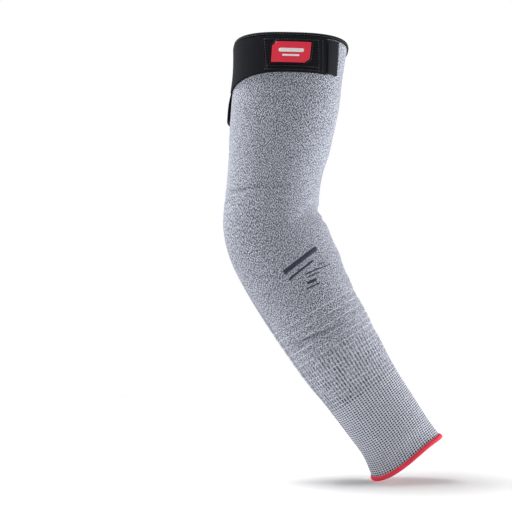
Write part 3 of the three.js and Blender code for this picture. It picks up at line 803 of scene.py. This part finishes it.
def cut_outline(width, height, cut):
    """A rectangle with its top left and bottom right corners cut off, as points a few millimetres apart."""
    x, y = width / 2, height / 2
    corners = np.array([(-x + cut, -y), (x, -y), (x, y - cut), (x - cut, y), (-x, y), (-x, -y + cut)])
    counts = (14, 7, 3, 14, 7, 3)
    ends = np.roll(corners, -1, 0)
    runs = [a + (b - a) * (np.arange(n) / n)[:, None] for a, b, n in zip(corners, ends, counts)]
    return np.vstack(runs)


def plate(name, rings, material, stands_for=()):
    """A closed plate from rings, each an inset from the outline of the patch and a lift: the rings are joined in
    order, and the first and last are closed to their middles. An inset cut shrinks by 0.586 of the inset."""
    grown = [cut_outline(PATCH_WIDTH - 2 * t, PATCH_HEIGHT - 2 * t, max(PATCH_CUT - 0.586 * t, 0.3)) for t, _ in rings]
    outlines = [grown[0] * scale for scale in (0.02, 0.5)] + grown
    outlines += [outline * scale for outline in (grown[-1],) for scale in (0.5, 0.02)]
    lifts = [rings[0][1]] * 2 + [high for _, high in rings] + [rings[-1][1]] * 2
    flat = np.stack(outlines)
    turns = angle_after(0.0, flat[..., 0], PATCH_LEVEL, FRAME_HIGH)
    points = on_sleeve(PATCH_LEVEL + flat[..., 1], turns, np.array(lifts)[:, None])
    row, col = grid_faces(*flat.shape[:2], False, True)
    faces = row * flat.shape[1] + col % flat.shape[1]
    values = np.concatenate([flat, np.zeros((*flat.shape[:2], 1))], -1)[row, col % flat.shape[1]]
    return piece(name, points, faces, values, material, stands_for)


black_rubber, tree, shader = new_finish("black moulded rubber", Roughness=0.5, IOR=1.4)
shader.inputs["Base Color"].default_value = linear("#060607")
shader.inputs["Specular IOR Level"].default_value = 0.2
red_rubber, tree, shader = new_finish("red moulded rubber", Roughness=0.3, IOR=1.5)
shader.inputs["Base Color"].default_value = linear("#EF2F49")
white_rubber, tree, shader = new_finish("white moulded rubber", Roughness=0.45, IOR=1.5)
shader.inputs["Base Color"].default_value = linear("#F2EFEF")
rim = FRAME_RIM + GAP
frame_rings = [(-rim, FRAME_LOW), (-rim, FRAME_LOW + 0.7), (-rim + 0.25, FRAME_HIGH - 0.5), (-rim + 0.8, FRAME_HIGH)]
frame_rings += [(-GAP - 0.35, FRAME_HIGH), (-GAP, FRAME_HIGH - 0.3), (-GAP, POCKET_FLOOR + 0.02), (0.4, POCKET_FLOOR)]
plate("patch_frame", frame_rings, black_rubber, ("patch_frame",))
patch_low = POCKET_FLOOR + GAP
patch_high = patch_low + PATCH_THICKNESS
patch_rings = [(0.0, patch_low), (0.0, patch_high - 0.35), (0.12, patch_high - 0.1), (0.45, patch_high)]
patch_rings += [(1.2, patch_high), (1.45, patch_high - 0.12), (1.7, patch_high - 0.12)]
plate("patch_face", patch_rings, red_rubber, ("patch_face",))


def bar(x, y, width, height):
    """A raised bar on the plate: an outline with round ends, carried up from the plate and closed over its top."""
    ring = np.linspace(0, 2 * np.pi, 24, endpoint=False)
    side = np.sign(np.cos(ring)) * (width - height) / 2 + np.cos(ring) * height / 2
    outline = np.stack([side, np.sin(ring) * height / 2], -1)
    levels = ((0.05, -0.2), (0.6, -0.2), (1.0, -0.2), (1.0, 0.1), (0.94, 0.16), (0.6, 0.16), (0.05, 0.16))
    flat = np.stack([outline * scale + (x, y) for scale, _ in levels])
    turns = angle_after(0.0, flat[..., 0], PATCH_LEVEL, FRAME_HIGH)
    lifts = np.array([patch_high + high for _, high in levels])[:, None]
    row, col = grid_faces(*flat.shape[:2], False, True)
    return on_sleeve(PATCH_LEVEL + flat[..., 1], turns, lifts).reshape(-1, 3), row * 24 + col % 24


bars = [bar(0.0, -1.8, 25.0, 3.8), bar(0.0, 3.4, 17.0, 1.9)]
bar_faces = np.vstack([faces + i * len(bars[0][0]) for i, (points, faces) in enumerate(bars)])
bar_points = np.vstack([points for points, faces in bars])
piece("patch_bars", bar_points, bar_faces, np.zeros((*bar_faces.shape, 3)), white_rubber)


# Forearm print.
# Dark blue ink, screen printed on the knit below the elbow: plain bars and short lines. The ink sinks into the yarn,
# so it lies in a film a tenth of a millimetre thick that keeps the knit's flecks.
INK_ROWS = [
    # middle: degrees round and mm from the top; then length, height and turn from level
    (14.0, 234.0, 42.0, 4.6, -12.0),
    (9.0, 243.0, 30.0, 2.0, -12.0),
    (21.0, 249.0, 17.0, 1.3, 2.0),
    (20.0, 252.5, 13.0, 1.0, 2.0),
    (14.5, 257.5, 10.0, 2.6, 2.0),
    (13.5, 262.0, 15.0, 1.3, 2.0),
    (40.0, 246.0, 16.0, 0.9, 2.0),
    (40.0, 250.0, 13.0, 0.9, 2.0),
]
ink_points, ink_faces = [], []
for i, (middle, level, length, tall, tilt) in enumerate(INK_ROWS):
    along = np.linspace(-length / 2, length / 2, 25)
    across = np.array([-tall / 2, 0.0, tall / 2])
    x = along[None, :] * np.cos(np.radians(tilt)) - across[:, None] * np.sin(np.radians(tilt))
    y = along[None, :] * np.sin(np.radians(tilt)) + across[:, None] * np.cos(np.radians(tilt))
    x, y = np.vstack([x, x[::-1]]), np.vstack([y, y[::-1]])
    high = np.repeat([0.12, -0.3], 3)[:, None]
    turns = angle_after(middle, x, level, 0.0)
    ink_points.append(on_sleeve(level + y, turns, high + 0 * x).reshape(-1, 3))
    row, col = grid_faces(6, 25, True, False)
    caps = np.array([[0, 25, 100, 125], [25, 50, 75, 100]])
    one = np.vstack([(row % 6) * 25 + col, caps, (caps + 24)[:, ::-1]])
    ink_faces.append(one + 150 * i)
ink, tree, shader = new_finish("dark blue screen ink on knit", Roughness=0.8, Sheen_Weight=0.1)
place = add_node(tree, "ShaderNodeTexCoord").outputs["Object"]
speck = add_node(tree, "ShaderNodeTexNoise", {"Vector": place, "Scale": 900.0, "Detail": 2.0})
ink_colour = add_node(tree, "ShaderNodeValToRGB", {"Fac": speck.outputs["Fac"]})
ink_colour.color_ramp.elements[0].position, ink_colour.color_ramp.elements[0].color = 0.35, linear("#161A2E")
ink_colour.color_ramp.elements[1].position, ink_colour.color_ramp.elements[1].color = 0.8, linear("#454A60")
tree.links.new(ink_colour.outputs[0], shader.inputs["Base Color"])
ink_faces = np.vstack(ink_faces)
piece("forearm_print", np.vstack(ink_points), ink_faces, np.zeros((*ink_faces.shape, 3)), ink)


# Stage: a round white table that touches the wrist's lowest point, a pale room that is dimmer behind the camera and
# at its ceiling, a softbox on each side and one overhead.
TABLE_RADIUS = 0.8
rim = np.linspace(0, 2 * np.pi, 96, endpoint=False)
table_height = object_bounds()[0].z - 0.0004
rim_points = np.stack([TABLE_RADIUS * np.cos(rim), TABLE_RADIUS * np.sin(rim), 0 * rim + table_height], -1)
floor_mesh = bpy.data.meshes.new("floor")
floor_mesh.from_pydata(rim_points.tolist(), [], [tuple(range(96))])
floor_paint, tree, shader = new_finish("white matt table", Roughness=0.9)
shader.inputs["Base Color"].default_value = (0.82, 0.82, 0.82, 1.0)
floor_mesh.materials.append(floor_paint)
floor = bpy.data.objects.new("floor", floor_mesh)
bpy.context.scene.collection.objects.link(floor)

world = bpy.data.worlds.new("pale room")
bpy.context.scene.world = world
world.use_nodes = True
room = world.node_tree
room.nodes.clear()
seen = add_node(room, "ShaderNodeBackground", {"Color": (1.0, 1.0, 1.0, 1.0), "Strength": 1.0})
direction = add_node(room, "ShaderNodeTexCoord").outputs["Generated"]
direction = add_node(room, "ShaderNodeSeparateXYZ", {0: direction})
dimmer = add_node(
    room, "ShaderNodeMapRange", {"Value": direction.outputs["Y"], "From Min": -1.0, "To Min": 0.48, "To Max": 0.95}
)
ceiling = add_node(room, "ShaderNodeMapRange", {"Value": direction.outputs["Z"], "To Min": 1.2, "To Max": 0.3})
strength = add_node(room, "ShaderNodeMath", {0: dimmer.outputs[0], 1: ceiling.outputs[0]}, operation="MULTIPLY")
lighting = add_node(room, "ShaderNodeBackground", {"Color": (1.0, 1.0, 1.0, 1.0), "Strength": strength.outputs[0]})
path = add_node(room, "ShaderNodeLightPath")
either = add_node(
    room, "ShaderNodeMixShader", {0: path.outputs["Is Camera Ray"], 1: lighting.outputs[0], 2: seen.outputs[0]}
)
add_node(room, "ShaderNodeOutputWorld", {0: either.outputs[0]})

LIGHTS = [
    # name, place, what it points at, size across and up, watts
    ("left softbox", (-1.1, 0.2, -0.4), (0.1, 0.0, -0.4), (0.5, 0.5), 6.6),
    ("right softbox", (1.2, 0.1, -0.3), (0.1, 0.0, -0.38), (0.6, 0.7), 17.0),
    ("overhead softbox", (-0.75, 0.2, 1.9), (0.1, 0.0, -0.4), (0.7, 0.7), 60.0),
]
for name, spot, target, size, watts in LIGHTS:
    lamp = bpy.data.lights.new(name, "AREA")
    lamp.shape = "RECTANGLE"
    lamp.size, lamp.size_y = size
    lamp.energy = watts
    holder = bpy.data.objects.new(name, lamp)
    holder.location = spot
    way = np.array(target) - np.array(spot)
    holder.rotation_mode = "QUATERNION"
    holder.rotation_quaternion = Vector(way).to_track_quat("-Z", "Y")
    bpy.context.scene.collection.objects.link(holder)

# The camera stands 1.4 m in front, level with the picture's middle. One pixel is 1.03 mm at the sleeve, and the
# frame's origin is 291 pixels from the picture's left and 47.5 from its top.
CAMERA_AWAY = 1.4
PIXEL = 0.00103
PICTURE_SIZE = 512
ORIGIN_ACROSS, ORIGIN_DOWN = 291, 47.5
lens = bpy.data.cameras.new("camera")
lens.sensor_width = 36.0
lens.lens = lens.sensor_width * CAMERA_AWAY / (PICTURE_SIZE * PIXEL)
camera = bpy.data.objects.new("camera", lens)
middle = PICTURE_SIZE / 2
camera.location = ((middle - ORIGIN_ACROSS) * PIXEL, -CAMERA_AWAY, (ORIGIN_DOWN - middle) * PIXEL)
camera.rotation_euler = (np.pi / 2, 0, 0)
bpy.context.scene.collection.objects.link(camera)
bpy.context.scene.camera = camera
bpy.context.scene.view_settings.view_transform = "Standard"
